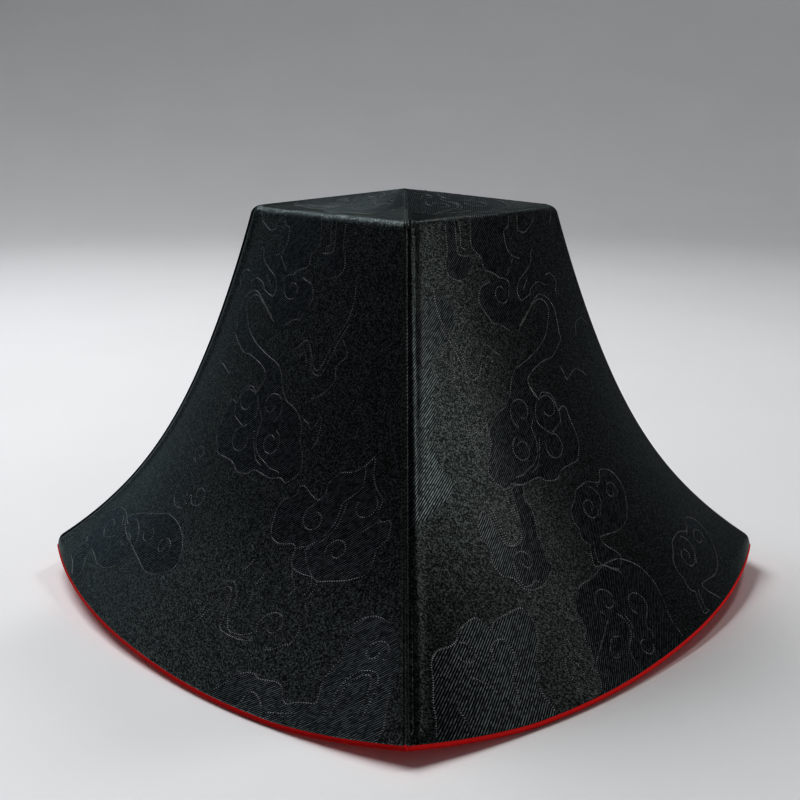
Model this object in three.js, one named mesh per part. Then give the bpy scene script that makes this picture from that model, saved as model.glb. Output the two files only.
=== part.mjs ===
// A stiff black brocade hat with four corners: a narrow square crown that rises to a low point, four
// panels that flare down between concave corner seams, a thin red lining, and red piping round the hem.
// Millimetres, +Z up. The corners lie on the X and Y axes, the front one at -Y, and it stands on Z = 0.
import * as THREE from "three";

// Driving dimensions. A half diagonal runs from the hat's axis to a corner.
const crown = { apexHeight: 174, creaseHeight: 167.2, creaseHalfDiagonal: 61, bow: 0.1 };
const shoulder = { height: 163.6, halfDiagonal: 65.9, cornerHalfDiagonal: 65, cornerHeight: 166.8 };
const hem = { halfDiagonal: 160, bow: 0.505, lipFrom: 0.971 };
const bowPower = 2.2; // above 2, a bowed side is flatter in its middle than near the corners
const ridge = { linear: 46, square: 21.7, fifth: 32 }; // growth of the half diagonal from shoulder to hem
const cloth = { thickness: 1.2, seamGap: 0.3 };
const lining = { thickness: 0.8, gap: 0.3 };
const piping = { thickness: 2, gap: 0.3, inset: 1 };

// How far the hem rises towards each corner. reach is the share of a panel's width that lifts.
const lift = {
  side: { height: 9.7, reach: 0.58, power: 0.82 },
  frontAndBack: { height: 4.9, reach: 0.22, power: 1.4 },
};

// How finely the surfaces are divided.
const steps = { crown: 2, shoulder: 4, side: 14, lip: 3, gore: 10, lining: 8, piping: 24 };
const circleSagitta = 1 - Math.SQRT1_2; // how far a circle stands out from the square inside it, per radius

const colours = { brocade: 0x101314, lining: 0x8c1014, piping: 0xc4161a };

// The height of the cloth's lower edge. way runs from 0 at a side corner to 1 at the front or back corner.
function hemHeight(way) {
  const rise = (from, { height, reach, power }) => height * Math.max(0, 1 - from / reach) ** power;
  const lowest = piping.thickness + piping.gap;
  return lowest + rise(way, lift.side) + rise(1 - way, lift.frontAndBack);
}

// The half diagonal at a share of the way down the side. The last bit turns down into a blunt lip.
function sideHalfDiagonal(share) {
  const growth = (t) => ridge.linear * t + ridge.square * t ** 2 + ridge.fifth * t ** 5;
  const plain = (t) => shoulder.halfDiagonal + growth(t);
  if (share <= hem.lipFrom) return plain(share);
  const start = plain(hem.lipFrom);
  const turn = ((share - hem.lipFrom) / (1 - hem.lipFrom)) * (Math.PI / 2);
  return start + (hem.halfDiagonal - start) * Math.sin(turn);
}

// Sections of the hat from the point down to the hem: half diagonal, height at the shoulder's end,
// drop (the share of the way from there to the hem) and bow (0 straight-sided, 1 round).
function sections() {
  const list = [];
  for (let i = 0; i <= steps.crown; i++) {
    const t = i / steps.crown;
    const height = crown.apexHeight + (crown.creaseHeight - crown.apexHeight) * t;
    list.push({ halfDiagonal: crown.creaseHalfDiagonal * t, height, drop: 0, bow: crown.bow });
  }
  for (let i = 1; i < steps.shoulder; i++) {
    const t = i / steps.shoulder;
    const mix = (a, b, c) => a * (1 - t) ** 2 + 2 * b * t * (1 - t) + c * t ** 2;
    list.push({
      halfDiagonal: mix(crown.creaseHalfDiagonal, shoulder.cornerHalfDiagonal, shoulder.halfDiagonal),
      height: mix(crown.creaseHeight, shoulder.cornerHeight, shoulder.height),
      drop: 0,
      bow: crown.bow,
    });
  }
  const shares = [];
  for (let i = 0; i < steps.side; i++) shares.push((hem.lipFrom * i) / steps.side);
  for (let i = 0; i <= steps.lip; i++) shares.push(hem.lipFrom + ((1 - hem.lipFrom) * i) / steps.lip);
  for (const drop of shares) {
    const bow = crown.bow + (hem.bow - crown.bow) * drop;
    list.push({ halfDiagonal: sideHalfDiagonal(drop), height: shoulder.height, drop, bow });
  }
  return list;
}

// How far the middle of a section's side bows out.
const bowDepth = (section) => section.halfDiagonal * circleSagitta * section.bow;

// The height of a section at a way along its side.
const heightAt = (section, way) => section.height * (1 - section.drop) + hemHeight(way) * section.drop;

// The middle of a section's side: how far out it is, and its height.
function middle(section) {
  const out = section.halfDiagonal * Math.SQRT1_2 + bowDepth(section);
  return { out, height: heightAt(section, 0.5) };
}

// Each section with the direction that points into the cloth there, as a step inwards and a step down.
function sectionsWithInward() {
  const list = sections();
  return list.map((section, i) => {
    if (i <= steps.crown) return { ...section, inward: 0, down: 1 };
    const before = middle(list[i - 1]);
    const after = middle(list[Math.min(i + 1, list.length - 1)]);
    const run = after.out - before.out;
    const fall = before.height - after.height;
    const length = Math.hypot(run, fall);
    return { ...section, inward: fall / length, down: run / length };
  });
}

// A point of one side of the hat, in that side's own frame: +X out of the side, +Y along it.
// s runs from -1 to 1 along the side, and depth is measured into the cloth.
function sidePoint(section, s, depth, pullBack, startsAtFrontOrBack) {
  const half = section.halfDiagonal * Math.SQRT1_2 - depth * section.inward;
  const out = Math.max(half, pullBack) + bowDepth(section) * (1 - Math.abs(s) ** bowPower);
  const along = s * Math.max(0, half - pullBack);
  const way = startsAtFrontOrBack ? (1 - s) / 2 : (1 + s) / 2;
  const down = section.drop === 1 ? 0 : depth * section.down;
  return new THREE.Vector3(out, along, heightAt(section, way) - down);
}

// A closed solid from a grid of points whose columns wrap round. Rows may shrink to a point or fold flat.
function solidFromRows(rows, rowsWrap) {
  const positions = [];
  const known = new Map();
  const indexOf = (p) => {
    const key = [p.x, p.y, p.z].map((v) => Math.round(v * 1e4)).join(" ");
    if (!known.has(key)) {
      known.set(key, positions.length / 3);
      positions.push(p.x, p.y, p.z);
    }
    return known.get(key);
  };
  const index = [];
  const triangle = (a, b, c) => {
    if (a !== b && b !== c && c !== a) index.push(a, b, c);
  };
  const last = rowsWrap ? rows.length : rows.length - 1;
  for (let r = 0; r < last; r++) {
    const upper = rows[r].map(indexOf);
    const lower = rows[(r + 1) % rows.length].map(indexOf);
    for (let c = 0; c < upper.length; c++) {
      const next = (c + 1) % upper.length;
      triangle(upper[c], lower[c], lower[next]);
      triangle(upper[c], lower[next], upper[next]);
    }
  }
  const geometry = new THREE.BufferGeometry();
  geometry.setAttribute("position", new THREE.Float32BufferAttribute(positions, 3));
  geometry.setIndex(index);
  geometry.computeVertexNormals();
  return geometry;
}

// One panel: each row is the outer face from end to end and the inner face back again.
function goreGeometry(startsAtFrontOrBack) {
  const pullBack = cloth.seamGap * Math.SQRT1_2;
  const across = Array.from({ length: steps.gore + 1 }, (_, i) => (2 * i) / steps.gore - 1);
  const face = (section, depth) =>
    across.map((s) => sidePoint(section, s, depth, pullBack, startsAtFrontOrBack));
  const rows = sectionsWithInward().map((section) => [
    ...face(section, 0),
    ...face(section, cloth.thickness).reverse(),
  ]);
  const hemRow = rows[rows.length - 1];
  const fold = hemRow.map((p, i) => p.clone().lerp(hemRow[hemRow.length - 1 - i], 0.5));
  return solidFromRows([...rows, fold], false);
}

// The side's own frame turned to its place round the hat. Side 0 is the front right one.
const sideAngle = (side) => -Math.PI / 4 + (side * Math.PI) / 2;

// A ring of points round the whole hat at one section and depth.
function ring(section, depth, countPerSide) {
  const points = [];
  for (let side = 0; side < 4; side++) {
    for (let i = 0; i < countPerSide; i++) {
      const s = (2 * i) / countPerSide - 1;
      const p = sidePoint(section, s, depth, 0, side % 2 === 0);
      points.push(p.applyAxisAngle(new THREE.Vector3(0, 0, 1), sideAngle(side)));
    }
  }
  return points;
}

function liningGeometry() {
  const outerDepth = cloth.thickness + lining.gap;
  const innerDepth = outerDepth + lining.thickness;
  const list = sectionsWithInward();
  const outer = list.map((section) => ring(section, outerDepth, steps.lining));
  const inner = list.map((section) => ring(section, innerDepth, steps.lining)).reverse();
  return solidFromRows([...outer, ...inner], false);
}

// The piping: an eight-sided cord with a flat side down, just under the edge of the cloth.
function pipingGeometry() {
  const list = sectionsWithInward();
  const path = ring(list[list.length - 1], 0, steps.piping);
  const halfThickness = piping.thickness / 2;
  const sides = 8;
  const radius = halfThickness / Math.cos(Math.PI / sides);
  const rows = path.map((p, i) => {
    const before = path[(i + path.length - 1) % path.length];
    const after = path[(i + 1) % path.length];
    const outward = new THREE.Vector3(after.y - before.y, before.x - after.x, 0).normalize();
    const centre = p.clone().addScaledVector(outward, -piping.inset);
    centre.z -= piping.gap + halfThickness;
    return Array.from({ length: sides }, (_, k) => {
      const angle = ((k + 0.5) / sides) * Math.PI * 2;
      const point = centre.clone().addScaledVector(outward, radius * Math.cos(angle));
      point.z += radius * Math.sin(angle);
      return point;
    });
  });
  return solidFromRows(rows, true);
}

const brocade = new THREE.MeshStandardMaterial({ color: colours.brocade, roughness: 0.55, metalness: 0 });
const redLining = new THREE.MeshStandardMaterial({ color: colours.lining, roughness: 0.6, metalness: 0 });
const redPiping = new THREE.MeshStandardMaterial({ color: colours.piping, roughness: 0.65, metalness: 0 });

const hat = new THREE.Group();

const gores = new THREE.Group();
["gore_front_right", "gore_back_right", "gore_back_left", "gore_front_left"].forEach((name, side) => {
  const gore = new THREE.Mesh(goreGeometry(side % 2 === 0), brocade);
  gore.name = name;
  gore.rotation.z = sideAngle(side);
  gores.add(gore);
});
hat.add(gores);

const liningShell = new THREE.Mesh(liningGeometry(), redLining);
liningShell.name = "lining";
hat.add(liningShell);

const hemPiping = new THREE.Mesh(pipingGeometry(), redPiping);
hemPiping.name = "hem_piping";
hat.add(hemPiping);

export default hat;
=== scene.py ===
import math

import bpy
import numpy as np
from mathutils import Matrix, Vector


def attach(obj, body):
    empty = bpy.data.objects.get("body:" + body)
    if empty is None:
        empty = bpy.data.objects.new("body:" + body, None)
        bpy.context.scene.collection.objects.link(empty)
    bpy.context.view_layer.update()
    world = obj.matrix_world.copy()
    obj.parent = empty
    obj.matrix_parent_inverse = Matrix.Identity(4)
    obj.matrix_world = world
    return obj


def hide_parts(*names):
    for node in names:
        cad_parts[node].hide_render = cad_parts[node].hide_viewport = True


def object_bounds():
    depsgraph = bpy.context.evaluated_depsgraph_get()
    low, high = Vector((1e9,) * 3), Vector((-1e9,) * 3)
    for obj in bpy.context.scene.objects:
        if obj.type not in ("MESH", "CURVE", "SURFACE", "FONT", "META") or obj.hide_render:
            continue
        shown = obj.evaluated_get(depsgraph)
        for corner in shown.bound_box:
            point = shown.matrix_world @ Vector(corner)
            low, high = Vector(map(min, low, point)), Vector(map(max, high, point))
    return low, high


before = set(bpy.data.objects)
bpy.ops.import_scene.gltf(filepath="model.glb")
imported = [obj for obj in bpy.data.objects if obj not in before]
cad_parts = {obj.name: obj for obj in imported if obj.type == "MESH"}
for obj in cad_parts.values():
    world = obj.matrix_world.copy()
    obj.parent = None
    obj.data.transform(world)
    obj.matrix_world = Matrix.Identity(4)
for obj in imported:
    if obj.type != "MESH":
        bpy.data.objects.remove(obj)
cad_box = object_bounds()


# Panels
# Four panels of stiffened black brocade, each cut in one with its quarter of the crown. They are sewn
# together from the point of the crown down the corners, and their lower edge is turned over the piping.
MM = 0.001
hat_top = cad_box[1][2] / MM
hem_half_diagonal = cad_box[1][0] / MM
crease_height, crease_half_diagonal = hat_top - 6.8, 61.0
shoulder_height, shoulder_half_diagonal = 163.6, 65.9
shoulder_corner_half_diagonal, shoulder_corner_height = 65.0, 166.8
ridge_growth = {1: 46.0, 2: 21.7, 5: 32.0}  # power of the share of the way down, and its growth in mm
lip_from, bend_from = 0.971, 0.8
crown_bow, hem_bow, bow_power = 0.1, 0.505, 2.2
cloth_thickness = 1.2
lowest_edge = 2.3
side_lift = {"height": 9.7, "reach": 0.58, "easing": 0.03}
front_lift = {"height": 4.9, "reach": 0.22, "power": 1.4}
circle_sagitta = 1 - math.sqrt(0.5)


def edge_height(way):
    """Height of the cloth's lower edge, where way runs from 0 at a side corner to 1 at the front or back."""
    rise = 1 - way / side_lift["reach"]
    side = (rise + np.sqrt(rise**2 + side_lift["easing"])) / 2
    front = np.maximum(0, 1 - (1 - way) / front_lift["reach"]) ** front_lift["power"]
    return lowest_edge + side_lift["height"] * side + front_lift["height"] * front


def ridge_at(share):
    """Half diagonal of the hat before its hem bends down."""
    return shoulder_half_diagonal + sum(size * share**power for power, size in ridge_growth.items())


def side_half_diagonal(share):
    """How far the corner is from the hat's axis at a share of the way from the shoulder to the hem."""
    start = ridge_at(bend_from)
    slope = (start - ridge_at(bend_from - 1e-4)) / 1e-4
    past = np.maximum(0, share - bend_from)
    rest = 1 - bend_from
    easing = (slope * rest - (hem_half_diagonal - start)) / rest**2
    return np.where(share <= bend_from, ridge_at(share), start + slope * past - easing * past**2)


def tip_half_diagonal(share):
    """The same at the two side corners, where the cloth turns down over the last few mm in a blunt tip."""
    start = ridge_at(lip_from)
    turn = np.clip((share - lip_from) / (1 - lip_from), 0, 1) * math.pi / 2
    return np.where(share <= lip_from, ridge_at(share), start + (hem_half_diagonal - start) * np.sin(turn))


def middle_profile():
    """Rows down the middle of a panel: cloth length, half diagonal, height, drop, bow, inward, fall, tip."""
    crown_points = 40
    t = np.linspace(0, 1, crown_points)
    crown = [crease_half_diagonal * t, hat_top + (crease_height - hat_top) * t, 0 * t, 0 * t + crown_bow]
    t = np.linspace(0, 1, 30)[1:-1]

    def bezier(a, b, c):
        return a * (1 - t) ** 2 + 2 * b * t * (1 - t) + c * t**2

    roll = [
        bezier(crease_half_diagonal, shoulder_corner_half_diagonal, shoulder_half_diagonal),
        bezier(crease_height, shoulder_corner_height, shoulder_height),
        0 * t,
        0 * t + crown_bow,
    ]
    t = np.concatenate([np.linspace(0, bend_from, 300)[:-1], np.linspace(bend_from, 1, 80)])
    side = [side_half_diagonal(t), 0 * t + shoulder_height, t, crown_bow + (hem_bow - crown_bow) * t]
    half_diagonal, height, drop, bow = np.concatenate([crown, roll, side], axis=1)
    out = half_diagonal * math.sqrt(0.5) + half_diagonal * circle_sagitta * bow
    middle_height = height * (1 - drop) + edge_height(0.5) * drop
    length = np.concatenate([[0], np.cumsum(np.hypot(np.diff(out), np.diff(middle_height)))])
    length = length - length[crown_points - 1]
    run, fall = np.gradient(out), -np.gradient(middle_height)
    steep = np.hypot(run, fall)
    inward = np.where(length <= 0, 0, fall / steep)
    down = np.where(length <= 0, 1, run / steep)
    tip = np.where(drop > bend_from, tip_half_diagonal(drop) - half_diagonal, 0)
    return length, half_diagonal, height, drop, bow, inward, down, tip


profile = middle_profile()
cloth_top, cloth_bottom = profile[0][0], profile[0][-1]


def panel_half_width(down):
    """Half the width of a panel at a cloth length below the crease."""
    return np.interp(down, profile[0], profile[1]) * math.sqrt(0.5)


def panel_points(side, across, down, lift):
    """Points of a side of the hat, in metres. across and down are mm on the laid-out cloth."""
    here = [np.interp(down, profile[0], row) for row in profile[1:]]
    half_diagonal, height, drop, bow, inward, fall, tip = here
    half = half_diagonal * math.sqrt(0.5)
    share = np.clip(np.abs(across) / np.maximum(half, 1e-6), 0, 1)
    signed = np.sign(across) * share
    way = (1 - signed) / 2 if side % 2 == 0 else (1 + signed) / 2
    extra = tip * math.sqrt(0.5) * np.clip(1 - way / 0.3, 0, 1) ** 2
    across = across * (1 + extra / np.maximum(half, 1e-6))
    out = half + extra + half_diagonal * circle_sagitta * bow * (1 - share**bow_power) + lift * inward
    z = height * (1 - drop) + edge_height(way) * drop + lift * fall * (drop < 1)
    angle = -math.pi / 4 + side * math.pi / 2
    x = out * math.cos(angle) - across * math.sin(angle)
    y = out * math.sin(angle) + across * math.cos(angle)
    return np.stack([x, y, z], axis=-1) * MM


# Two panels meet on a rounded corner, where each passes the other's edge by a hair, so that no slit shows.
# Their seam is lapped: its sunk line of stitches lies a little to the right of the corner, and the
# turned-in edge beyond it lifts the cloth.
corner = {"overlap": 0.06, "radius": 1.1, "depth": 1.15}
sunk_line = {"depth": 0.9, "from_corner": 1.75, "reach": 0.6}
turned_edge = {"height": 0.5, "from_corner": 4.2, "reach": 1.9}
crown_seam_share = 0.45  # of the size it has down the corners
unevenness = 0.03


def corner_arc():
    """Points from the middle of the rounded corner outwards: distance from the corner, and fall."""
    turns = np.linspace(math.pi / 4, 0, 8)
    out = corner["radius"] * (1 - np.sin(turns))
    return np.stack([out, corner["radius"] * (1 - np.cos(turns))], axis=1)


def cloth_relief(side, across, down, squeeze=1):
    """Lift of the cloth in mm: the seam's sunk line and turned edge, and a calm unevenness."""
    from_corner = (panel_half_width(down) - np.abs(across)) / squeeze
    right_of_seam = across < 0
    pull = 0.85 + 0.15 * np.sin(down / 0.55 + side) * np.sin(down / 5.3 + side)
    line = np.exp(-(((from_corner - sunk_line["from_corner"]) / sunk_line["reach"]) ** 4))
    edge = np.exp(-(((from_corner - turned_edge["from_corner"]) / turned_edge["reach"]) ** 2))
    seam = (turned_edge["height"] * edge - sunk_line["depth"] * line) * pull
    seam = seam * np.clip((cloth_bottom - 1 - down) / 4, 0, 1)
    calm = np.sin(across / 17 + side) * np.sin(down / 23 + 2 * side) + 0.6 * np.sin((across + down) / 11)
    away = np.clip((from_corner - 6) / 12, 0, 1)
    return seam * right_of_seam * squeeze + unevenness * calm * away


# The brocade's clouds, charted in mm on the laid-out cloth: across from the panel's middle and
# down from just above the crease. A body is a closed outline, and a line is one raised run of thread.
chart_start = 0.6  # above the crease


def curl(x, y, first, last, start, end):
    """Points of a scroll round (x, y): its radius grows from first to last as its angle turns."""
    turns = np.radians(np.linspace(start, end, 2 + int(abs(end - start) / 36)))
    size = np.linspace(first, last, len(turns))
    return [(x + r * math.cos(a), y + r * math.sin(a)) for r, a in zip(size, turns)]


crown_cloud = [
    [(-8, 69.5), (-10.5, 74), (-14.5, 78), (-19, 79.5), (-23.5, 82), (-27, 86.5), (-28, 91), (-31.5, 96),
     (-33.5, 101), (-32.5, 104), (-30.5, 106.5), (-28, 108.5), (-24, 107.5), (-19, 109), (-9.5, 108.5),
     (-5.5, 111), (0.5, 112), (5, 109.5), (11, 109), (16, 109), (19, 106), (21, 103), (21.5, 99), (20.5, 91),
     (20.5, 88), (18.5, 86), (15, 87), (14, 81), (12, 79), (8, 77.5), (4.5, 79), (1.5, 73), (2.5, 70),
     (6, 68), (10.5, 66.5), (15.5, 65.5), (20, 65.5), (24, 63.5), (29.5, 59.5), (29.5, 57), (30, 52),
     (30, 47), (28, 42.5), (24.5, 39.5), (20, 39), (13.5, 43), (8.5, 46.5), (4.5, 49.5), (8, 47.5),
     (13.5, 43.5), (18, 41), (21, 40.5), (23.5, 41.5), (25.5, 44), (25.5, 47), (22, 53), (19.5, 56),
     (13, 60), (4.5, 63), (-3, 65), (-5.5, 66.5)],
]
crown_cloud_lines = [
    curl(-7, 82, 1.4, 7, 195, -235),
    curl(-12.7, 96, 2.6, 5.6, 227, 624),
    curl(9, 84, 3.2, 5, 175, -100) + [(4.2, 80)],
    curl(5.3, 99.5, 4.6, 5.4, 213, -82) + [(3.5, 92), (0.5, 88.5), (0.5, 85.5), (2, 82), (3.5, 80)],
    [(-1, 85.5), (-3, 88), (-4, 89.5), (-3.5, 94), (-4.5, 98), (-6.5, 101), (-9.5, 103), (-13, 104),
     (-17, 105.5), (-21, 105.5), (-23.5, 106)],
    [(-1.5, 94), (-3, 98), (-5, 101), (-8, 104.5), (-12.5, 106)],
    [(1.5, 73), (3.5, 76.5), (4.5, 79)],
    [(6.5, 94.5), (10.5, 93), (14, 91.5), (15, 89), (16, 86.5), (18.5, 86)],
    [(-35.5, 80.5), (-36.5, 84), (-36.5, 86.5), (-37, 89), (-36, 91.5), (-35, 93.5)],
    [(-34.5, 81), (-33.5, 84.5), (-32, 86), (-29.5, 84), (-26.5, 83)],
]
tail_cloud = [
    [(-19, 109), (-21, 114), (-19.5, 117), (-19.5, 121), (-20.5, 125.5), (-22, 129), (-22, 135.5), (-23, 139),
     (-22, 141.5), (-25, 144.5), (-30, 147), (-36, 147.5), (-40, 145.5), (-42, 141), (-46, 139),
     (-47.5, 134), (-46, 128), (-47.5, 123), (-46.5, 118), (-43.5, 114.5), (-41, 115.5), (-40, 120),
     (-39, 126), (-36, 129.5), (-32, 129.5), (-29, 126.5), (-27, 121), (-26, 114), (-25, 109)],
]
tail_cloud_lines = [
    [(-25, 108.5), (-26, 114.5), (-27, 121), (-28.5, 125.5), (-30.5, 128), (-35, 129.5), (-37.5, 129),
     (-39, 126.5), (-39.5, 120), (-41, 115.5), (-42.5, 114), (-46.5, 117.5)],
    [(-26.5, 108.5), (-27.5, 115), (-28.5, 121.5), (-31, 126.5), (-34.5, 128.5), (-37.5, 127.5),
     (-38.5, 120), (-39.5, 114)],
    [(-28, 108.5), (-29, 112), (-29.5, 120), (-31, 125.5), (-34, 127.5), (-36.5, 125.5), (-37.5, 120),
     (-38, 114.5), (-39, 111.5), (-41.5, 110.5), (-44, 111.5)],
    curl(-33.4, 137, 1.2, 5.6, 169, -182) + [(-40, 140.5), (-39.5, 144), (-38.5, 145.5), (-35.5, 145.5),
     (-33, 144.5), (-31.5, 146)],
]
upper_clouds = [
    [(-11, 2), (-12, 6), (-13, 10), (-13.5, 15), (-9.5, 19.5), (-9.5, 22), (-8.5, 24.5), (-5.5, 25.5),
     (-1, 28), (-6, 29), (-10, 30), (-13, 31), (-15.5, 35.5), (-14.5, 38.5), (-11.5, 43.5), (-10, 45.5),
     (-6.5, 46.5), (-1.5, 50), (3, 48.5), (7, 45), (11, 41), (15.5, 38), (20, 34), (23, 33.5),
     (27, 35.5), (31, 37.5), (34, 38.5), (36, 35.5), (34.5, 32), (30, 29.5), (25, 27.5), (22.5, 24),
     (23.5, 19.5), (20, 18), (14, 21), (10, 19.5), (8.5, 16.5), (8, 13.5), (9, 10), (9.5, 5), (4, 1)],
    [(-25, 2), (-26, 6), (-27, 14.5), (-28.5, 18), (-29.5, 21), (-29, 24), (-26.5, 26), (-24, 27),
     (-19, 24.5), (-16, 20), (-16, 18), (-21.5, 17), (-22, 15), (-20.5, 6), (-20, 1)],
]
upper_cloud_lines = [
    [(-11, 2), (-12, 6), (-13, 10), (-13.5, 15), (-9.5, 19.5), (-9.5, 22), (-8.5, 24.5), (-5.5, 25.5),
     (-1, 28)],
    [(-7, 29), (-10, 30), (-13, 31), (-15.5, 35.5), (-14.5, 38.5), (-11.5, 43.5), (-10, 45.5), (-6.5, 46.5),
     (-1.5, 50)],
    [(-25, 2), (-26, 6), (-27, 14.5), (-28.5, 18), (-29.5, 21), (-29, 24), (-26.5, 26), (-22, 27.5)],
    [(-20.5, 3), (-21, 8), (-22, 15), (-21.5, 17), (-18, 18), (-15.5, 18)],
    curl(-2, 34.5, 2.2, 4.8, -31, -360) + [(4, 31), (1.5, 29), (-1, 28.5), (-3.5, 26.5)],
    [(9, 22), (7, 24.5), (5, 26.5), (3, 28.5)],
    [(11.5, 3), (10, 8.5), (7, 10), (6.5, 13.5), (6.8, 17), (9, 20.5), (14, 22.5)],
    [(17, 4), (16, 8.5), (15.5, 10.5), (17, 11.5), (20, 12), (23, 10.5), (26, 8.5), (28, 5)],
    [(23.5, 19.5), (21.5, 21), (21, 23.5), (19, 26), (16, 28), (10.5, 31), (8.5, 34), (8, 36.5), (9, 39),
     (11, 39), (15.5, 37.5), (17, 35.5), (20, 34), (23, 33.5), (27, 35.5)],
    [(16, 31), (13.5, 33.5), (11.5, 35.5)],
    [(28.5, 31.5), (31.5, 31), (34.5, 33), (35.5, 35.5), (34, 38), (34.5, 40), (36, 41.5)],
    [(41, 4), (39, 9.5), (37, 10.5)],
    [(-37.5, 28.5), (-38, 36), (-36, 44), (-32, 51), (-30, 57.5), (-27.5, 63), (-24.5, 62), (-18, 53),
     (-13, 56.5), (-10.5, 58)],
    [(-38, 43.5), (-34.5, 50.5), (-32, 58), (-29.5, 64.5), (-25, 64.5), (-21, 59)],
    [(-36.5, 49.5), (-40.5, 55), (-36.5, 60), (-37, 66.5), (-31, 73), (-27.5, 74.5)],
    [(-20, 61.5), (-17.5, 57.5), (-15, 61)],
    [(-18.5, 3), (-18.5, 8.5), (-19.5, 14), (-17, 15.5)],
    [(24.5, 70.5), (25.5, 73), (26.5, 76.5), (29.5, 75.5), (33.5, 74), (36.5, 74.5), (39.5, 76.5), (42, 79)],
    [(42, 59.5), (43.5, 56), (46, 54.5), (49.5, 54.5), (52, 56.5), (53.5, 59)],
]
seam_cloud = [
    [(-92, 38), (-54, 38), (-43.5, 34), (-34, 30.5), (-30, 41), (-34.5, 46), (-42, 52.5), (-47, 57),
     (-45, 63), (-49.5, 70.5), (-49.5, 77), (-53, 82.5), (-59.5, 86), (-53.5, 87), (-54.5, 94.5),
     (-51, 101), (-54, 106.5), (-63, 111.5), (-70.5, 115), (-92, 117)],
]
right_clouds = [
    [(8.5, 119.5), (6.5, 121.5), (4, 123.5), (1.5, 125), (0.5, 127), (-0.5, 130), (0.5, 133.5), (-0.5, 137),
     (0.5, 139.5), (2, 140.5), (0.5, 143.5), (-1.5, 149), (3, 150.5), (9, 155), (14, 152), (14, 149),
     (10, 144), (9.5, 140.5), (15, 141), (22, 142), (30, 140), (36, 134), (38, 127), (35, 120), (28, 117),
     (24, 121), (16.5, 118.5)],
]
right_cloud_lines = [
    [(5, 140.5), (3, 143.5), (2, 146), (1.5, 148.5), (3.5, 150.5), (6.5, 153), (9, 154.5), (9.5, 157)],
    curl(12, 128, 1.4, 5.2, 90, -330),
    [(16.5, 120.5), (18.5, 122), (20, 124.5), (20, 128), (18, 130.5), (15, 133.5)],
    [(24.5, 121), (21, 122.5)],
    curl(29, 127, 1.2, 4.6, 0, 400),
]
lower_clouds = [
    [(-44.5, 154.5), (-43.5, 157), (-44, 160.5), (-46.5, 166), (-50.5, 170.5), (-53.5, 176), (-56.5, 182),
     (-60, 196), (-100, 196), (-98, 182), (-93, 172), (-91.5, 168.5), (-89.5, 164.5), (-85.5, 161),
     (-80, 160), (-76.5, 158), (-74, 155), (-66, 151.5), (-63, 154.5), (-61.5, 157), (-59.5, 154.5),
     (-54.5, 153), (-46, 152)],
    [(-6, 152.5), (-14, 153), (-19, 156), (-21.5, 159), (-23, 161), (-23, 167), (-23.5, 169), (-26, 170.5),
     (-27, 176.5), (-29, 181), (-30.5, 186), (-31, 196), (15, 196), (20, 182), (23, 174), (24, 166),
     (21, 158), (14, 152), (8, 150.5), (2, 150.5)],
]
lower_cloud_lines = [
    curl(-6, 162.7, 6.5, 1.8, 132, 560),
    [(-5, 168.5), (-3.5, 170.5), (-2.5, 173.5), (-3, 176), (-5, 179), (-8, 181), (-10, 183.5), (-11, 190)],
    [(-1.5, 170.5), (-1, 174), (-1.5, 176.5), (-4.5, 180)],
    [(-10, 176.5), (-13, 175.5), (-15.5, 176.5), (-18, 179), (-19, 181.5), (-16.5, 183), (-16, 181)],
    [(-9.5, 168.5), (-13, 170.5), (-16.5, 173), (-19.5, 175), (-24, 178), (-27, 180), (-29, 182),
     (-30, 185.5)],
    curl(8, 170, 4.2, 5.2, 137, 419) + [(7, 177), (5.5, 179), (6.5, 181.5), (5, 184)],
    curl(-0.5, 184.8, 2.6, 3.6, -67, -357),
    [(-34, 168.5), (-34, 173), (-33, 177), (-33.5, 181.5)],
    curl(-76.2, 163, 3.6, 3.8, 175, -95),
    [(-68, 170), (-67, 166.5), (-66, 163.5), (-63, 161), (-59.5, 161), (-58, 164.5), (-58.5, 168),
     (-61, 172), (-64, 175), (-65, 179), (-68, 185)],
    [(-79, 171.5), (-76.5, 173.5), (-74, 175.5), (-73, 178.5)],
    [(-88, 179.5), (-89.5, 182), (-89, 188)],
    [(-34, 169), (-35.5, 169), (-38, 174), (-37, 176.5), (-35.5, 180), (-36.5, 184), (-38, 188)],
    [(-39, 174.5), (-41, 177), (-42, 181), (-41.5, 184), (-42.5, 188)],
]
left_clouds = [
    [(40, 102), (38.5, 104.5), (39, 108), (37, 111), (33, 110), (28, 107.5), (25.5, 108.5), (26, 110.5),
     (24, 113), (20.5, 115), (19, 119), (19.5, 123), (20, 126), (22, 129.5), (26, 131), (30, 130.5),
     (33.5, 129.5), (35.5, 131), (36, 135), (38.5, 138), (43, 139), (48, 139), (51, 140), (56, 139),
     (61.5, 138), (65.5, 136.5), (68.5, 135), (69.5, 132), (69.5, 129), (69, 125.5), (70, 123.5),
     (71.5, 121), (71, 116.5), (69.5, 114.5), (66.5, 115), (64, 112), (64, 107), (60, 103), (57, 98),
     (55.5, 92), (53.5, 93.5), (52.5, 95), (48, 98), (43, 99)],
    [(38, 196), (38.5, 184), (40.5, 181), (44, 179), (47, 178.5), (50, 179.5), (56.5, 178.5), (59.5, 179),
     (61.5, 181), (63.5, 183.5), (66, 184.5), (69.5, 183), (75.5, 182), (75.5, 179.5), (74, 174.5),
     (74.5, 169.5), (76, 165), (75, 161), (75.5, 156), (74, 154), (74.5, 151.5), (80, 149), (88, 152),
     (93, 158), (97, 166), (99, 175), (99, 196)],
    [(-60, 150), (-50, 146), (-40, 142), (-30, 143), (-22, 148), (-18, 156), (-24, 163), (-33, 166),
     (-43, 164), (-52, 162), (-62, 160), (-68, 156)],
]
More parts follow.
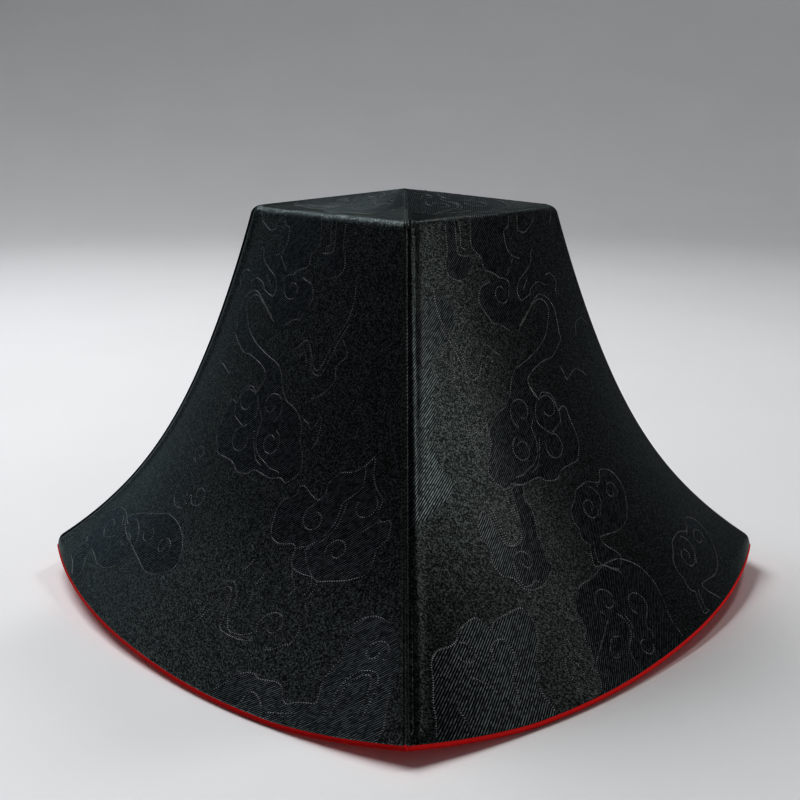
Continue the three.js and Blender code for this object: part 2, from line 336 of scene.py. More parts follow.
left_cloud_lines = [
    [(40, 102), (38.5, 104.5), (39, 108), (37, 111)] + curl(38, 118.3, 5.5, 2.6, -127, -470),
    [(52, 106), (49.5, 108.5), (48, 110), (48, 117), (47, 120), (45.5, 123), (43.5, 125.5), (40.5, 128.5),
     (38, 129.5), (35.5, 131)],
    [(50, 110), (49.5, 117), (48.5, 121), (46, 124.5), (43.5, 127.5), (39.5, 130.5)],
    curl(53.3, 127.8, 5.2, 1.6, 135, 560),
    curl(58, 110, 5, 3.6, -58, 200),
    [(60, 120), (61.5, 118.5), (64, 116.5), (66.5, 115)],
    [(55.5, 92), (53.5, 93.5), (52.5, 95), (53.5, 98.5), (54, 103), (52, 106)],
    [(38.5, 138), (39.5, 140.5), (42, 143), (43.5, 145.5), (42, 148.5)],
    [(40.5, 131), (43, 134.5), (45.5, 137), (48, 139), (49.5, 143.5), (48.5, 147)],
    [(51, 140), (51.5, 143), (51, 149), (53.5, 151.5), (53, 154.5), (54, 158), (54.5, 161), (54, 164),
     (51, 166), (48.5, 168), (45, 169.5)],
    curl(42.8, 160.3, 1.2, 6.8, 195, -230),
    [(7, 170), (8.5, 166.5), (8, 162), (8, 158), (9.5, 155), (12, 152), (15.5, 151), (18.5, 153),
     (20.5, 156), (21.5, 159.5), (21.5, 163), (23.5, 166), (26, 168), (30, 168), (33.5, 167), (36.5, 165)],
    [(9.5, 170), (10.5, 165), (11, 157), (13, 154), (15, 153.5), (17, 155), (18.5, 158.5), (19, 162),
     (20.5, 166), (22, 169), (30, 169.5), (34.5, 169), (38, 168)],
    [(19, 140), (18, 143.5), (16, 145.5)],
    [(9, 143), (8.5, 146), (10, 148.5)],
    [(14.5, 135.5), (17, 137)],
    [(60, 189.5), (64, 188.5), (66.5, 188), (70, 187)],
    [(48.5, 190), (49, 186), (51, 184.5), (55.5, 186.5), (58, 189.5)],
    curl(86.5, 161.5, 1.6, 5, 0, 400),
    [(81, 186), (81, 175), (84.5, 169), (90.5, 168.5), (93.5, 173.5), (94.5, 186)],
    [(83, 184), (83, 175), (86, 170.5), (89.5, 170), (91.5, 175), (92.5, 184)],
    [(27.5, 143), (26, 150), (28, 157)],
    curl(-32, 154, 1.3, 5.5, 0, 420),
    curl(-45, 153, 5, 1.6, 200, -120),
    curl(-27, 128, 1.2, 5.5, 90, 520) + [(-33, 136), (-40, 137), (-44, 131), (-42, 124)],
    curl(-38, 113, 1.2, 4.5, 90, -260),
]


def moved(shapes, across, down, mirrored=False):
    """The same shapes at another place of the repeat."""
    turn = -1 if mirrored else 1
    return [[(across + turn * x, down + y) for x, y in shape] for shape in shapes]


def clouds_on(side):
    """Bodies, soft bodies without an outline, and lines on one panel. The two panels at the back are cut
    from other places of the same cloth."""
    if side in (0, 2):
        slip = (0, 0) if side == 0 else (12, -4)
        bodies = crown_cloud + tail_cloud + right_clouds + lower_clouds
        soft = upper_clouds + seam_cloud
        lines = crown_cloud_lines + tail_cloud_lines + upper_cloud_lines + right_cloud_lines
        lines = lines + lower_cloud_lines + moved(right_cloud_lines, 42, 40)
        bodies = bodies + moved(right_clouds, 42, 40)
    else:
        slip = (0, 0) if side == 3 else (-14, 3)
        bodies = left_clouds + moved(crown_cloud, -10, 0, True) + moved(right_clouds, -88, 36)
        soft = moved(upper_clouds, -10, 0, True)
        lines = left_cloud_lines + moved(upper_cloud_lines + crown_cloud_lines, -10, 0, True)
        lines = lines + moved(right_cloud_lines, -88, 36)
    on_crown = (4, -112)
    bodies = moved(bodies, *slip) + moved(crown_cloud, *on_crown)
    lines = moved(lines, *slip) + moved(crown_cloud_lines, *on_crown)
    soft = moved(soft, *slip)
    return [[np.array(shape) - (0, chart_start) for shape in shapes] for shapes in (bodies, soft, lines)]


def smooth_line(points, closed, step):
    """An even run of points on a smooth curve through the charted ones."""
    p = np.array(points, dtype=float)
    ends = (p[-1:], p[:2]) if closed else (2 * p[:1] - p[1:2], 2 * p[-1:] - p[-2:-1])
    p = np.concatenate([ends[0], p, ends[1]])
    t = np.linspace(0, 1, 9)[:-1, None]
    a, b, c, d = p[:-3, None], p[1:-2, None], p[2:-1, None], p[3:, None]
    curve = b + 0.5 * ((c - a) * t + (2 * a - 5 * b + 4 * c - d) * t**2 + (3 * b - a - 3 * c + d) * t**3)
    curve = np.concatenate([curve.reshape(-1, 2), p[-2:-1]])
    length = np.concatenate([[0], np.cumsum(np.linalg.norm(np.diff(curve, axis=0), axis=1))])
    even = np.arange(0, length[-1], step)
    return np.stack([np.interp(even, length, curve[:, k]) for k in (0, 1)], axis=1)


thread = {"half_width": 0.33, "height": 0.08, "step": 0.42, "bead": 0.95, "clear_of_seam": 5.0}
thread_section = [(-1, -0.12), (-0.55, thread["height"]), (0.55, thread["height"]), (1, -0.12)]


def outline_threads(side, bodies, lines):
    """The raised thread round each body and along each line: points in metres, chart places and faces."""
    points, places, faces = [], [], []
    around = len(thread_section)
    runs = [smooth_line(body, True, thread["step"]) for body in bodies]
    runs += [smooth_line(line, False, thread["step"]) for line in lines]
    for run in runs:
        room = panel_half_width(run[:, 1]) - np.abs(run[:, 0])
        keep = (room > thread["clear_of_seam"]) & (run[:, 1] < cloth_bottom - 1.5)
        breaks = np.flatnonzero(np.diff(np.concatenate([[0], keep, [0]])))
        for start, end in breaks.reshape(-1, 2):
            if end - start < 5:
                continue
            piece = run[start:end]
            course = np.gradient(piece, axis=0)
            course /= np.maximum(np.linalg.norm(course, axis=1), 1e-6)[:, None]
            along = np.arange(len(piece)) * thread["step"]
            bead = 1 + 0.12 * np.sin(along * 2 * math.pi / thread["bead"])
            bead *= np.clip(np.minimum(along, along[::-1]) / 0.8 + 0.3, 0, 1)
            first = len(points) * around
            for place, (cx, cy), size in zip(piece, course, bead):
                ring = []
                for reach, level in thread_section:
                    reach *= thread["half_width"] * size
                    ring.append((place[0] - cy * reach, place[1] + cx * reach, level * size))
                points.append(ring)
            places += [(x, y, s) for (x, y), s in zip(piece, along) for _ in range(around)]
            for r in range(len(piece) - 1):
                for c in range(around):
                    a, b = first + around * r + c, first + around * r + (c + 1) % around
                    faces.append((a, b, b + around, a + around))
            last = first + around * (len(piece) - 1)
            faces.append((first, *range(first + around - 1, first, -1)))
            faces.append(tuple(range(last, last + around)))
    flat = np.array(points).reshape(-1, 3)
    lift = flat[:, 2] + cloth_relief(side, flat[:, 0], flat[:, 1])
    return panel_points(side, flat[:, 0], flat[:, 1], lift), np.array(places), faces


def signed_distance(points, loops):
    """Distance in mm from each point to the nearest loop, positive inside one."""
    best = np.full(len(points), -99.0)
    for loop in loops:
        start, end = loop, np.roll(loop, -1, axis=0)
        run = end - start
        low, high = loop.min(0) - 6, loop.max(0) + 6
        near = np.flatnonzero(((points > low) & (points < high)).all(1))
        p = points[near][:, None]
        t = np.clip(((p - start) * run).sum(2) / np.maximum((run**2).sum(1), 1e-9), 0, 1)
        distance = np.linalg.norm(p - start - t[..., None] * run, axis=2).min(1)
        crosses = (start[:, 1] > p[..., 1]) != (end[:, 1] > p[..., 1])
        rise = np.where(run[:, 1] == 0, 1e-9, run[:, 1])
        left_of = p[..., 0] < start[:, 0] + (p[..., 1] - start[:, 1]) / rise * run[:, 0]
        inside = (crosses & left_of).sum(1) % 2 == 1
        best[near] = np.maximum(best[near], np.where(inside, distance, -distance))
    return best


def mesh_object(name, points, faces):
    """A smooth mesh from points in metres and lists of corner numbers, wherever its faces meet gently."""
    mesh = bpy.data.meshes.new(name)
    mesh.from_pydata(points.tolist(), [], faces)
    mesh.validate()
    mesh.polygons.foreach_set("use_smooth", [True] * len(mesh.polygons))
    thing = bpy.data.objects.new(name, mesh)
    bpy.context.collection.objects.link(thing)
    return thing


def grid_faces(rows, columns, start=0, flip=False):
    """Faces of a grid of points numbered row by row."""
    faces = []
    for r in range(rows - 1):
        for c in range(columns - 1):
            a = start + r * columns + c
            face = (a, a + columns, a + columns + 1, a + 1)
            faces.append(face[::-1] if flip else face)
    return faces


def zip_rows(first, second, flip=False):
    """Triangles between two rows of point numbers that run side by side, whatever their counts."""
    faces, i, j = [], 0, 0
    while i < len(first) - 1 or j < len(second) - 1:
        ahead = (i + 1) / max(1, len(first) - 1) <= (j + 1) / max(1, len(second) - 1)
        if j == len(second) - 1 or (ahead and i < len(first) - 1):
            face = (first[i], first[i + 1], second[j])
            i += 1
        else:
            face = (first[i], second[j + 1], second[j])
            j += 1
        faces.append(face[::-1] if flip else face)
    return faces


def panel_rows():
    """Cloth lengths below the crease at which a panel has a row of points."""
    return np.concatenate([
        np.linspace(cloth_top, -1.2, 28)[:-1],
        np.linspace(-1.2, 6.5, 15)[:-1],
        np.linspace(6.5, cloth_bottom - 5, 158)[:-1],
        np.linspace(cloth_bottom - 5, cloth_bottom, 12),
    ])


# The strip beside each seam has columns of points close enough for its relief.
near_seam = np.array([
    1.16, 1.26, 1.36, 1.48, 1.62, 1.88, 2.02, 2.14, 2.24, 2.34, 2.5, 2.8, 3.2, 3.7, 4.3, 4.9, 5.5,
])
seam_strip = 6.4
full_seam_half_width = 12  # towards the crown's point the panel is narrower, and the seam shrinks with it
inner_corner_inset = 1.25


def outer_face(side, rows):
    """A panel's outer points row by row, and their places: across, down and distance from the seam."""
    edge = corner_arc()
    from_corner = np.concatenate([edge[:, 0], near_seam])
    fall = np.concatenate([edge[:, 1], 0 * near_seam])
    middle_share = np.linspace(-1, 1, 203)[1:-1]
    seam_depths = np.array([corner["depth"], fall[0]])
    grid, cloth = [], []
    for down in rows:
        half = float(panel_half_width(down))
        squeeze = min(1, half / full_seam_half_width)
        squeeze *= float(np.interp(down, [-0.5, 4], [crown_seam_share, 1]))
        bow, inward = (float(np.interp(down, profile[0], profile[k])) for k in (4, 5))
        lean = 1 + math.sqrt(2) * circle_sagitta * bow_power * bow
        mitre = (seam_depths * inward - corner["overlap"]) / lean * squeeze
        left = -half + from_corner * squeeze
        left[0] = -half + mitre[1]
        bottom = max(0, half - mitre[0])
        middle = (half - seam_strip * squeeze) * middle_share
        across = np.concatenate([[-bottom], left, middle, -left[::-1], [bottom]])
        level = np.full_like(across, down)
        lift = cloth_relief(side, across, level, squeeze)
        lift[1:-1] -= np.concatenate([fall, 0 * middle, fall[::-1]]) * squeeze
        lift[[0, -1]] = -corner["depth"] * squeeze
        grid.append(panel_points(side, across, level, lift))
        cloth.append(np.stack([across, level, half - np.abs(across)], axis=-1))
    return np.array(grid), np.array(cloth)


def inner_face(side, rows):
    """A panel's plain inner points, row by row."""
    shares = np.linspace(-1, 1, 13)
    grid = []
    for down in rows:
        inward = float(np.interp(down, profile[0], profile[5]))
        across = shares * max(0.0, float(panel_half_width(down)) - inner_corner_inset * inward)
        grid.append(panel_points(side, across, np.full_like(across, down), -cloth_thickness))
    return np.array(grid)


def wall_faces(count, width, inner_width):
    """Faces of a closed wall: its outer grid, its inner grid, and the strips along its four edges."""
    first = count * width
    outer_left = [r * width for r in range(count)]
    outer_right = [r * width + width - 1 for r in range(count)]
    inner_left = [first + r * inner_width for r in range(count)]
    inner_right = [first + (r + 1) * inner_width - 1 for r in range(count)]
    outer_bottom = [(count - 1) * width + c for c in range(width)]
    inner_bottom = [first + (count - 1) * inner_width + c for c in range(inner_width)]
    faces = grid_faces(count, width)
    faces += grid_faces(count, inner_width, first, flip=True)
    faces += zip_rows(outer_left, inner_left, flip=True)
    faces += zip_rows(outer_right, inner_right)
    faces += zip_rows(outer_bottom, inner_bottom)
    faces += zip_rows(list(range(width)), [first + c for c in range(inner_width)], flip=True)
    return faces


def make_panel(name, side):
    """One panel as a closed wall with its outline threads. Each point keeps its place on the cloth."""
    rows = panel_rows()
    outer, cloth = outer_face(side, rows)
    inner = inner_face(side, rows).reshape(-1, 3)
    faces = wall_faces(len(rows), outer.shape[1], len(inner) // len(rows))
    wall = np.concatenate([outer.reshape(-1, 3), inner])
    bodies, soft_bodies, lines = clouds_on(side)
    thread_points, thread_places, thread_faces = outline_threads(side, bodies, lines)
    cloth_faces = len(faces)
    faces += [tuple(number + len(wall) for number in face) for face in thread_faces]
    panel = mesh_object(name, np.concatenate([wall, thread_points]), faces)
    panel.data.use_auto_texspace = False
    panel.data.texspace_location = (0, 0, hat_top / 2 * MM)
    panel.data.texspace_size = (hem_half_diagonal * MM, hem_half_diagonal * MM, hat_top / 2 * MM)
    finish = np.zeros(len(panel.data.polygons), dtype=np.int32)
    finish[cloth_faces:] = 1
    panel.data.polygons.foreach_set("material_index", finish)
    places = np.concatenate([cloth.reshape(-1, 3), 0 * inner, thread_places])
    loops = [smooth_line(body, True, 1.0) for body in bodies + soft_bodies]
    figure = signed_distance(places[:, :2], loops)
    attribute = panel.data.attributes.new("cloth", "FLOAT_VECTOR", "POINT")
    attribute.data.foreach_set("vector", places.astype(np.float32).ravel())
    attribute = panel.data.attributes.new("figure", "FLOAT", "POINT")
    attribute.data.foreach_set("value", figure.astype(np.float32))
    return panel


class Strand:
    """One output socket of a material's nodes. Arithmetic on strands and numbers adds Math nodes."""

    def __init__(self, tree, socket=None):
        self.tree = tree
        self.socket = socket

    def node(self, kind, settings=None, sockets=None, output=0):
        """A new node of this kind: its settings first, then its sockets' values or links."""
        made = self.tree.nodes.new("ShaderNode" + kind)
        for name, value in (settings or {}).items():
            setattr(made, name, value)
        for name, value in (sockets or {}).items():
            if isinstance(value, Strand):
                self.tree.links.new(value.socket, made.inputs[name])
            else:
                made.inputs[name].default_value = value
        return Strand(self.tree, made.outputs[output])

    def math(self, operation, *values):
        sockets = {i: value for i, value in enumerate(values)}
        return self.node("Math", {"operation": operation}, sockets)

    def __add__(self, other):
        return self.math("ADD", self, other)

    __radd__ = __add__

    def __sub__(self, other):
        return self.math("SUBTRACT", self, other)

    def __rsub__(self, other):
        return self.math("SUBTRACT", other, self)

    def __mul__(self, other):
        return self.math("MULTIPLY", self, other)

    __rmul__ = __mul__

    def wave(self):
        """From 0 to 1 and back, once for each unit."""
        return 0.5 + 0.5 * self.math("SINE", self * (2 * math.pi))

    def whole(self):
        """The number without its fraction."""
        return self.math("FLOOR", self)

    def rise(self, low, high):
        """0 below low, 1 above high, and smooth between."""
        sockets = {"Value": self, "From Min": low, "From Max": high}
        return self.node("MapRange", {"interpolation_type": "SMOOTHSTEP"}, sockets)

    def tint(self, first, second):
        """Two colours mixed, with this strand as the share of the second."""
        sockets = {"Factor": self, 6: first, 7: second}
        return self.node("Mix", {"data_type": "RGBA"}, sockets, output=2)


def new_material(name):
    """A material with one Principled shader, and a strand to start its nodes from."""
    material = bpy.data.materials.new(name)
    material.use_nodes = True
    tree = material.node_tree
    shader = next(n for n in tree.nodes if n.type == "BSDF_PRINCIPLED")
    return material, shader, Strand(tree)


def set_shader(shader, **values):
    """Puts values or strands on the shader's sockets, named with low lines for spaces."""
    for name, value in values.items():
        socket = shader.inputs[name.replace("_", " ")]
        if isinstance(value, Strand):
            value.tree.links.new(value.socket, socket)
        else:
            socket.default_value = value


# Slant is in degrees below the horizontal. The rest is in mm: the ribs' pitch and the length of a float.
ground_weave = {"slant": 50, "pitch": 0.45, "float_length": 0.46}
cloud_weave = {"slant": -42, "pitch": 0.82, "float_length": 1.2}


def brocade_material():
    """Black figured silk: a fine ground, and coarser ribs in the clouds that stand the other way."""
    material, ground_shader, strand = new_material("black_brocade")
    cloth = strand.node("Attribute", {"attribute_name": "cloth"}, output=1)
    across = strand.node("SeparateXYZ", {}, {0: cloth}, output=0)
    down = strand.node("SeparateXYZ", {}, {0: cloth}, output=1)
    figure = strand.node("Attribute", {"attribute_name": "figure"}, output=2)
    from_seam = strand.node("SeparateXYZ", {}, {0: cloth}, output=2)
    wide = strand.node("TexNoise", {}, {"Vector": cloth, "Scale": 0.07, "Detail": 3.0})
    # A lighter strip within about 2 mm of each seam: partly frayed wear, partly a painted highlight standing
    # in for the light on the seam's roll.
    seam_wear_and_highlight = 1 - from_seam.rise(0.4, 1.8)
    crown = 1 - down.rise(-4, 1)
    mottle = strand.node("TexNoise", {}, {"Vector": cloth, "Scale": 0.5, "Detail": 3.0})

    def twill(slant, pitch, float_length):
        """A weave's ribs from 0 to 1, and a chance number for each float on them."""
        a = math.radians(slant)
        over = down * (math.cos(a) / pitch) - across * (math.sin(a) / pitch)
        rib = over.whole()
        along = across * (math.cos(a) / float_length) + down * (math.sin(a) / float_length) + rib * 0.382
        place = strand.node("CombineXYZ", {}, {0: rib, 1: along.whole(), 2: 0.0})
        chance = strand.node("TexWhiteNoise", {"noise_dimensions": "2D"}, {"Vector": place})
        return (over - 0.25).wave(), chance

    def silk(shader, tone, ribs, dark, light, rough, crown_rough):
        """One of the two weaves, painted darker and with less shine in the gaps between its ribs: painted
        shade.
        """
        # The colour of that strip by the seam: frayed silk, and a painted highlight.
        frayed_and_highlit = (0.030, 0.032, 0.031, 1)
        height = (ribs * 0.7 + tone * 0.3) * (crown * 2.0 + 1) + mottle * crown * 5.0
        bump = strand.node("Bump", {}, {"Strength": 0.5, "Distance": 0.00007, "Height": height})
        colour = (seam_wear_and_highlight * (tone * 0.6 + 0.4)).tint(tone.tint(dark, light), frayed_and_highlit)
        roughness = rough + (wide - 0.5) * 0.05 + (1 - ribs) * 0.08 + crown * crown_rough
        set_shader(shader, Base_Color=colour, Metallic=1 - tone, Roughness=roughness, Normal=bump)

    cloud_shader = strand.tree.nodes.new("ShaderNodeBsdfPrincipled")
    ribs, chance = twill(**ground_weave)
    # Tone: a random tone for each float, times a painted shade in the gaps between the ribs, which also dims
    # their shine.
    tone = (chance * chance * 0.9 + 0.1) * (ribs * 0.5 + 0.5)
    dark, light = (0.0010, 0.0014, 0.0015, 1), (0.0120, 0.0150, 0.0160, 1)
    silk(ground_shader, tone, ribs, dark, light, rough=0.33, crown_rough=0.02)
    set_shader(ground_shader, Specular_IOR_Level=0.84, Anisotropic=0.72, Anisotropic_Rotation=0.25)
    set_shader(ground_shader, Specular_Tint=(0.88, 1.0, 0.98, 1))
    ribs, chance = twill(**cloud_weave)
    # The same in the clouds: a random tone for each float, and a deeper painted shade between the ribs.
    tone = (ribs.rise(0.12, 0.92) * 0.92 + 0.04) * (chance * 0.7 + 0.3) * (1 - crown * 0.25)
    dark, light = (0.0008, 0.0011, 0.0013, 1), (0.0100, 0.0130, 0.0155, 1)
    silk(cloud_shader, tone, ribs, dark, light, rough=0.34, crown_rough=0.06)
    set_shader(cloud_shader, Specular_IOR_Level=0.88, Anisotropic=0.72, Anisotropic_Rotation=0.25)
    set_shader(cloud_shader, Specular_Tint=(0.86, 0.98, 1.0, 1))
    sockets = {0: figure.rise(-0.12, 0.12)}
    for slot, shader in ((1, ground_shader), (2, cloud_shader)):
        sockets[slot] = Strand(strand.tree, shader.outputs[0])
    both = strand.node("MixShader", {}, sockets)
    strand.tree.links.new(both.socket, strand.tree.nodes["Material Output"].inputs[0])
    return material


def thread_material():
    """The figure's outlines: a twisted black silk thread, each bead painted lighter as a painted glint."""
    material, shader, strand = new_material("outline_thread")
    place = strand.node("Attribute", {"attribute_name": "cloth"}, output=1)
    along = strand.node("SeparateXYZ", {}, {0: place}, output=2)
    bead = (along * (1 / thread["bead"])).wave().rise(0.15, 0.85)
    uneven = strand.node("TexNoise", {}, {"Vector": place, "Scale": 0.35, "Detail": 3.0}).rise(0.3, 0.65)
    # Each bead is painted grey in turn, a painted glint on the black thread, and the noise makes the glints
    # uneven.
    tone = bead * (0.3 + uneven * 0.7)
    colour = tone.tint((0.003, 0.004, 0.005, 1), (0.135, 0.145, 0.150, 1))
    set_shader(shader, Base_Color=colour, Metallic=1 - tone, Roughness=0.36 + uneven * 0.12)
    set_shader(shader, Specular_IOR_Level=0.9)
    return material


black_brocade = brocade_material()
outline_thread = thread_material()
panel_names = ["gore_front_right", "gore_back_right", "gore_back_left", "gore_front_left"]
for side, node in enumerate(panel_names):
    panel = make_panel("panel" + node[4:], side)
    panel.data.materials.append(black_brocade)
    panel.data.materials.append(outline_thread)
    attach(panel, "root")
    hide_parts(node)


# Lining
# A thin red satin shell, cut in four like the panels and joined at the corners. It lies against their
# inside and is sewn in along the piping.
lining_outer_depth, lining_inner_depth = 1.5, 2.3
lining_seam = {"depth": 0.35, "reach": 1.6}
lining_ripple = 0.12


def make_lining():
    """One closed shell: a fine inner face with its corner seams, and a plain outer one."""
    rows = np.concatenate([np.linspace(cloth_top, 0, 20)[:-1], np.linspace(0, cloth_bottom, 120)])
    per_side = 72

    def ring(down, depth, count, relief):
        points = []
        for side in range(4):
            share = np.linspace(-1, 1, count + 1)[:-1]
            half = float(panel_half_width(down))
            inward = float(np.interp(down, profile[0], profile[5]))
            across = share * max(0.0, half - depth * inward)
            level = np.full_like(across, down)
            lift = np.full_like(across, -depth)
            if relief:
                from_corner = half - np.abs(across)
                dip = np.exp(-((from_corner / lining_seam["reach"]) ** 2)) * min(1, half / 10)
                lift -= lining_seam["depth"] * dip
                lift += lining_ripple * np.sin(down / 9 + side) * np.sin(across / 7 + side)
            points.append(panel_points(side, across, level, lift))
        return np.concatenate(points)

    inner = np.array([ring(down, lining_inner_depth, per_side, True) for down in rows])
    outer = np.array([ring(down, lining_outer_depth, 12, False) for down in rows])
    count, width, coarse = len(rows), 4 * per_side, 48
    points = np.concatenate([inner.reshape(-1, 3), outer.reshape(-1, 3)])
    faces = []
    first = count * width
    for start, wide, flip in ((0, width, True), (first, coarse, False)):
        for r in range(count - 1):
            for c in range(wide):
                a, b = start + r * wide + c, start + r * wide + (c + 1) % wide
                face = (a, a + wide, b + wide, b)
                faces.append(face[::-1] if flip else face)
    last_inner = [(count - 1) * width + c % width for c in range(width + 1)]
    last_outer = [first + (count - 1) * coarse + c % coarse for c in range(coarse + 1)]
    faces += zip_rows(last_outer, last_inner)
    return mesh_object("lining_shell", points, faces)


def lining_material():
    """Red satin: an even sheen, a faint rib and slight changes of tone."""
    material, shader, strand = new_material("red_lining")
    place = strand.node("TexCoord", {}, output=3)
    weave = strand.node("TexNoise", {}, {"Vector": place, "Scale": 1400.0, "Detail": 2.0})
    wide = strand.node("TexNoise", {}, {"Vector": place, "Scale": 18.0, "Detail": 3.0})
    colour = wide.tint((0.22, 0.008, 0.011, 1), (0.36, 0.016, 0.020, 1))
    bump = strand.node("Bump", {}, {"Strength": 0.4, "Distance": 0.0001, "Height": weave + wide})
    set_shader(shader, Base_Color=colour, Roughness=0.38 + weave * 0.16, Normal=bump)
    set_shader(shader, Sheen_Weight=0.1, Sheen_Roughness=0.35)
    return material


lining = make_lining()
lining.data.materials.append(lining_material())
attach(lining, "root")
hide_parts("lining")


# Piping
# A red bias-cut strip folded round a thin cord and sewn in between the brocade and the lining. It runs
# right round the hem, and its ends meet at the front corner.
cord_half_width, cord_half_height, cord_inset, cord_drop = 1.15, 1.25, 0.7, 1.05
stitch_pitch, stitch_draw = 3.1, 0.03
join = {"place": 0.9, "reach": 0.45, "draw": 0.22}


def hem_path(per_side):
    """The cloth's lower edge as a closed ring of points in metres, from the front corner round."""
    points = []
    for side in range(4):
        half = float(panel_half_width(cloth_bottom))
        across = np.linspace(-1, 1, per_side + 1)[:-1] * half
        points.append(panel_points(side, across, np.full_like(across, cloth_bottom), 0 * across))
    return np.concatenate(points)


def make_piping():
    """The cord as a closed loop, a little uneven where the stitches draw it in."""
    path = hem_path(700) / MM
    before, after = np.roll(path, 1, axis=0), np.roll(path, -1, axis=0)
    tangent = after - before
    outward = np.stack([tangent[:, 1], -tangent[:, 0], 0 * tangent[:, 0]], axis=1)
    outward /= np.linalg.norm(outward, axis=1)[:, None]
    steps = np.linalg.norm(after - path, axis=1)
    along = np.concatenate([[0], np.cumsum(steps)[:-1]])
    total = steps.sum()
    from_join = np.minimum(np.abs(along - join["place"]), np.abs(total - along + join["place"]))
    size = 1 - stitch_draw * np.sin(along / stitch_pitch * 2 * math.pi) ** 8
    size -= join["draw"] * np.exp(-((from_join / join["reach"]) ** 2))
    centre = path - outward * cord_inset
    centre[:, 2] -= cord_drop
    round_points, around = 20, []
    ring = []
    for k in range(round_points):
        angle = 2 * math.pi * k / round_points
        point = centre + outward * (cord_half_width * math.cos(angle) * size)[:, None]
        point[:, 2] += cord_half_height * math.sin(angle) * size
        ring.append(point)
        around.append(np.full(len(path), angle * cord_half_width))
    points = np.stack(ring, axis=1)
    cord = np.stack([np.repeat(along[:, None], round_points, 1), np.stack(around, axis=1)], axis=-1)
    faces = []
    n = len(path)
    for r in range(n):
        for c in range(round_points):
            a, b = r * round_points + c, r * round_points + (c + 1) % round_points
            below = ((r + 1) % n - r) * round_points
            faces.append((a, b, b + below, a + below))
    piping = mesh_object("hem_cord", points.reshape(-1, 3) * MM, faces)
    flat = np.concatenate([cord, 0 * cord[..., :1]], axis=-1).reshape(-1, 3)
    attribute = piping.data.attributes.new("cord", "FLOAT_VECTOR", "POINT")
    attribute.data.foreach_set("vector", flat.astype(np.float32).ravel())
    return piping


def piping_material():
    """Bright red cotton sateen on the bias."""
    material, shader, strand = new_material("red_piping")
    cord = strand.node("Attribute", {"attribute_name": "cord"}, output=1)
    along = strand.node("SeparateXYZ", {}, {0: cord}, output=0)
    around = strand.node("SeparateXYZ", {}, {0: cord}, output=1)
    rib = (along * 1.9 + around * 1.9).wave()
    fuzz = strand.node("TexNoise", {}, {"Vector": cord, "Scale": 1.6, "Detail": 3.0})
    tone = rib * 0.35 + fuzz * 0.65
    colour = tone.tint((0.24, 0.002, 0.002, 1), (0.58, 0.006, 0.006, 1))
    bump = strand.node("Bump", {}, {"Strength": 0.5, "Distance": 0.00015, "Height": rib * 0.5 + fuzz})
    set_shader(shader, Base_Color=colour, Roughness=0.55 + fuzz * 0.2, Normal=bump)
    set_shader(shader, Specular_IOR_Level=0.2)
    return material


piping = make_piping()
piping.data.materials.append(piping_material())
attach(piping, "root")
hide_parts("hem_piping")


# Table, light and camera
# A plain pale sweep: a table top with a slight gloss that curves up far outside the hat. The main soft
# light is overhead at the back left. A tall one at the right brings out the weave beside the front seam,
# and two small ones touch the crown's right side and the left tip.
flat_radius, curve_radius, sweep_height = 1.3, 0.7, 2.2


def make_sweep():
    """A turned sheet: flat in the middle, and curved up into an upright wall all round."""
    turns = np.linspace(0, math.pi / 2, 12)
    flat = [0.02, 0.3, 0.7]
    curve = flat_radius + curve_radius * np.sin(turns)
    radius = np.concatenate([flat, curve, [flat_radius + curve_radius]])
    height = np.concatenate([[0, 0, 0], curve_radius * (1 - np.cos(turns)), [sweep_height]])
    spokes = 96
    around = np.linspace(0, 2 * math.pi, spokes + 1)[:-1]
    points = [(r * math.cos(a), r * math.sin(a), z) for r, z in zip(radius, height) for a in around]
    points.append((0, 0, 0))
    faces = []
    for r in range(len(radius) - 1):
        for c in range(spokes):
            a, b = r * spokes + c, r * spokes + (c + 1) % spokes
            faces.append((a, a + spokes, b + spokes, b))
    faces += [(len(points) - 1, c, (c + 1) % spokes) for c in range(spokes)]
    return mesh_object("table_sweep", np.array(points), faces)


table = make_sweep()
table_material, table_shader, table_strand = new_material("pale_table")
grain = table_strand.node("TexNoise", {}, {"Scale": 30.0, "Detail": 4.0})
set_shader(table_shader, Base_Color=grain.tint((0.70, 0.70, 0.70, 1), (0.74, 0.74, 0.745, 1)))
set_shader(table_shader, Roughness=0.42, Specular_IOR_Level=0.3)
table.data.materials.append(table_material)

world = bpy.data.worlds.new("studio")
world.use_nodes = True
world.node_tree.nodes["Background"].inputs[0].default_value = (0.98, 1.0, 1.02, 1)
world.node_tree.nodes["Background"].inputs[1].default_value = 0.05
bpy.context.scene.world = world


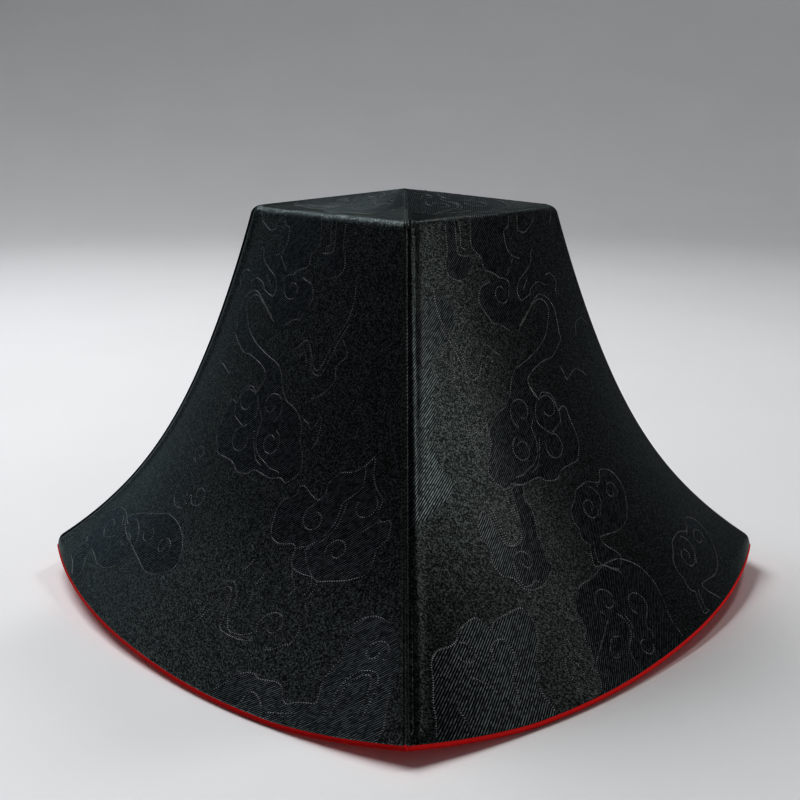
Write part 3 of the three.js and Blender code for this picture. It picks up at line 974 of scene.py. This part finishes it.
def soft_light(name, azimuth, elevation, distance, width, height, watts, colour):
    """A soft box aimed at the hat. azimuth turns from the front towards the right, in degrees."""
    a, e = math.radians(azimuth), math.radians(elevation)
    direction = Vector((math.sin(a) * math.cos(e), -math.cos(a) * math.cos(e), math.sin(e)))
    data = bpy.data.lights.new(name, "AREA")
    data.shape, data.size, data.size_y, data.energy, data.color = "RECTANGLE", width, height, watts, colour
    lamp = bpy.data.objects.new(name, data)
    target = Vector((0, 0, 0.08))
    lamp.location = target + direction * distance
    lamp.rotation_euler = direction.to_track_quat("Z", "Y").to_euler()
    lamp.visible_camera = False
    bpy.context.collection.objects.link(lamp)
    return lamp


soft_light("overhead_left", -124, 58, 1.4, 1.0, 0.75, 15.5, (0.98, 0.99, 1.0))
soft_light("back_right", 132, 54, 1.2, 0.22, 0.22, 2.0, (1.0, 0.99, 0.97))
soft_light("window_left", -122, 20, 1.3, 0.5, 0.5, 0.5, (0.62, 0.80, 1.0))
tall_right = soft_light("tall_right", 65, 13, 1.1, 0.24, 0.48, 4.2, (1.0, 0.98, 0.93))

# The tall light is kept off the table, so that the table stays even and dark under the hem.
kept_dark = bpy.data.collections.new("kept_dark")
kept_dark.objects.link(table)
kept_dark.collection_objects[0].light_linking.link_state = "EXCLUDE"
tall_right.light_linking.receiver_collection = kept_dark

# A small lamp lies on the table inside the hat and shines up, so the lining glows as it does in daylight.
inner_light = bpy.data.lights.new("inside", "AREA")
inner_light.shape, inner_light.size, inner_light.energy = "DISK", 0.10, 0.3
inner_lamp = bpy.data.objects.new("inside", inner_light)
inner_lamp.location = (0, 0, 0.006)
inner_lamp.rotation_euler = (math.pi, 0, 0)
inner_lamp.visible_camera = False
bpy.context.collection.objects.link(inner_lamp)

camera_data = bpy.data.cameras.new("camera")
camera_data.sensor_width = 36.0
camera_data.lens = 50.6
camera_data.clip_start = 0.01
camera = bpy.data.objects.new("camera", camera_data)
camera.location = (-0.0018, -0.4845, 0.213)
camera.rotation_euler = (math.radians(90 - 15.26), 0, 0)
bpy.context.collection.objects.link(camera)
bpy.context.scene.camera = camera
bpy.context.scene.view_settings.view_transform = "Standard"
bpy.context.scene.view_settings.look = "High Contrast"
